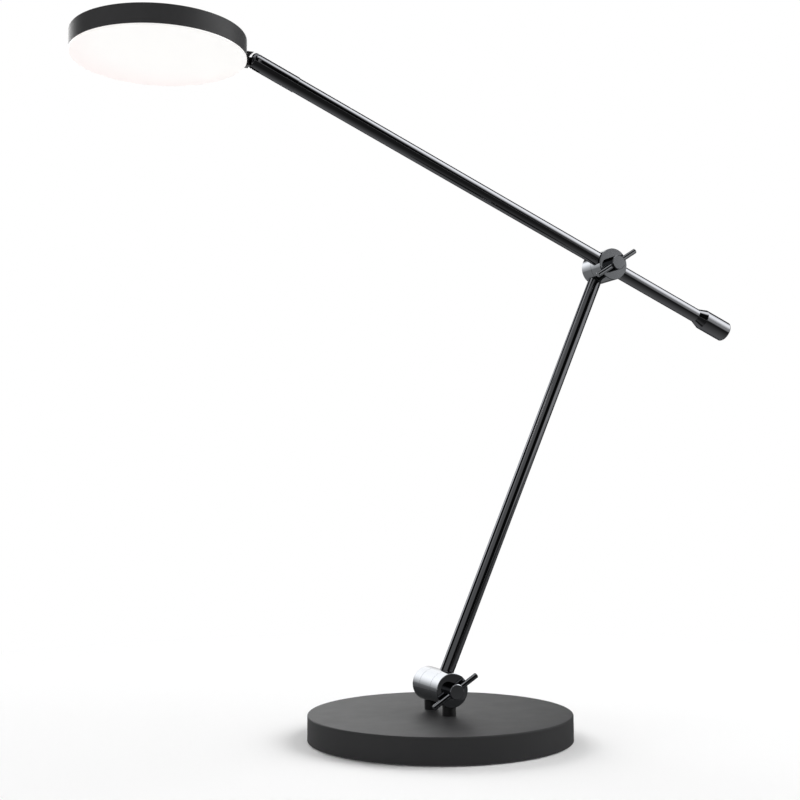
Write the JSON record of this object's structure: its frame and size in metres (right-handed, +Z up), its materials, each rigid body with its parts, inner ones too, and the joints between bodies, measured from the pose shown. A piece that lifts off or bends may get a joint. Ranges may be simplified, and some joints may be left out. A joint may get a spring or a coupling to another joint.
{
  "type": "desk lamp",
  "caption": "Desk lamp with a round weighted base, a leaning lower tube, an upper tube balanced by a counterweight, T-handle clamp joints and a flat round light head.",
  "frame": {"origin": "middle of the base's underside, on the desk", "axes": "+Z up, the arms swing in planes parallel to XZ, the head is towards -X, the T-handles face -Y"},
  "size_m": [0.6636, 0.2445, 0.6154],
  "materials": {
    "black_powder": "matte black powder coat",
    "head_black": "matte black powder coat on thin sheet",
    "black_chrome": "polished black chrome plating",
    "post_black": "satin black",
    "cast_iron": "as cast, lightly oiled",
    "plate_zinc": "zinc-plated sheet",
    "pad_rubber": "dense black foam rubber",
    "bush_rubber": "moulded black rubber",
    "screw_steel": "plain steel, fine turned",
    "washer_fibre": "dark pressed fibre",
    "ballast_steel": "bright drawn bar",
    "lug_black": "satin black",
    "spreader_aluminium": "plain rolled sheet",
    "board_white": "white solder mask on an aluminium core",
    "led_phosphor": "yellow phosphor in clear resin",
    "reflector_white": "white moulding",
    "opal": "opal sheet, lit from behind"
  },
  "bodies": {
    "base": {"base_cover": "black_powder", "base_weight": "cast_iron", "base_plate": "plate_zinc", "plate_screws": "screw_steel", "base_pad": "pad_rubber", "cable_bush": "bush_rubber", "front_post": "post_black", "rear_post": "post_black", "post_screws": "screw_steel", "front_cheek": "black_chrome", "rear_cheek": "black_chrome"},
    "lower_clamp": {"lower_clamp_screw": "black_chrome", "lower_handle_bar": "black_chrome"},
    "lower_arm": {"lower_pivot_block": "black_chrome", "lower_washers": "washer_fibre", "lower_tube": "black_chrome", "lower_tube_screws": "screw_steel", "upper_pivot_block": "black_chrome", "upper_washer": "washer_fibre"},
    "upper_clamp": {"upper_clamp_screw": "black_chrome", "upper_handle_bar": "black_chrome"},
    "upper_arm": {"upper_clamp_block": "black_chrome", "upper_tube": "black_chrome", "counterweight": "black_chrome", "ballast_bar": "ballast_steel", "upper_tube_screws": "screw_steel", "head_fork": "black_chrome", "hinge_pin": "screw_steel", "hinge_washers": "washer_fibre"},
    "head": {"head_lug": "lug_black", "lug_screws": "screw_steel", "head_housing": "head_black", "heat_spreader": "spreader_aluminium", "led_board": "board_white", "led_chips": "led_phosphor", "board_screws": "screw_steel", "reflector": "reflector_white", "diffuser": "opal"}
  },
  "joints": [
    {"name": "lower_arm_tilt", "type": "hinge", "parent": "base", "child": "lower_arm", "pos_m": [0, 0, 0.047], "axis": [0, 1, 0], "range_deg": [-20, 30]},
    {"name": "lower_clamp_turn", "type": "hinge", "parent": "base", "child": "lower_clamp", "pos_m": [0, -0.032, 0.047], "axis": [0, -1, 0], "range_deg": [-85, 22]},
    {"name": "upper_arm_tilt", "type": "hinge", "parent": "lower_arm", "child": "upper_arm", "pos_m": [0.17835, 0, 0.44759], "axis": [0, 1, 0], "range_deg": [-45, 40]},
    {"name": "upper_clamp_turn", "type": "hinge", "parent": "lower_arm", "child": "upper_clamp", "pos_m": [0.17835, -0.032, 0.44759], "axis": [0, -1, 0], "range_deg": [-150, 150]},
    {"name": "head_tilt", "type": "hinge", "parent": "upper_arm", "child": "head", "pos_m": [-0.18113, -0.0186, 0.6039], "axis": [0, 1, 0], "range_deg": [-50, 80]}
  ]
}
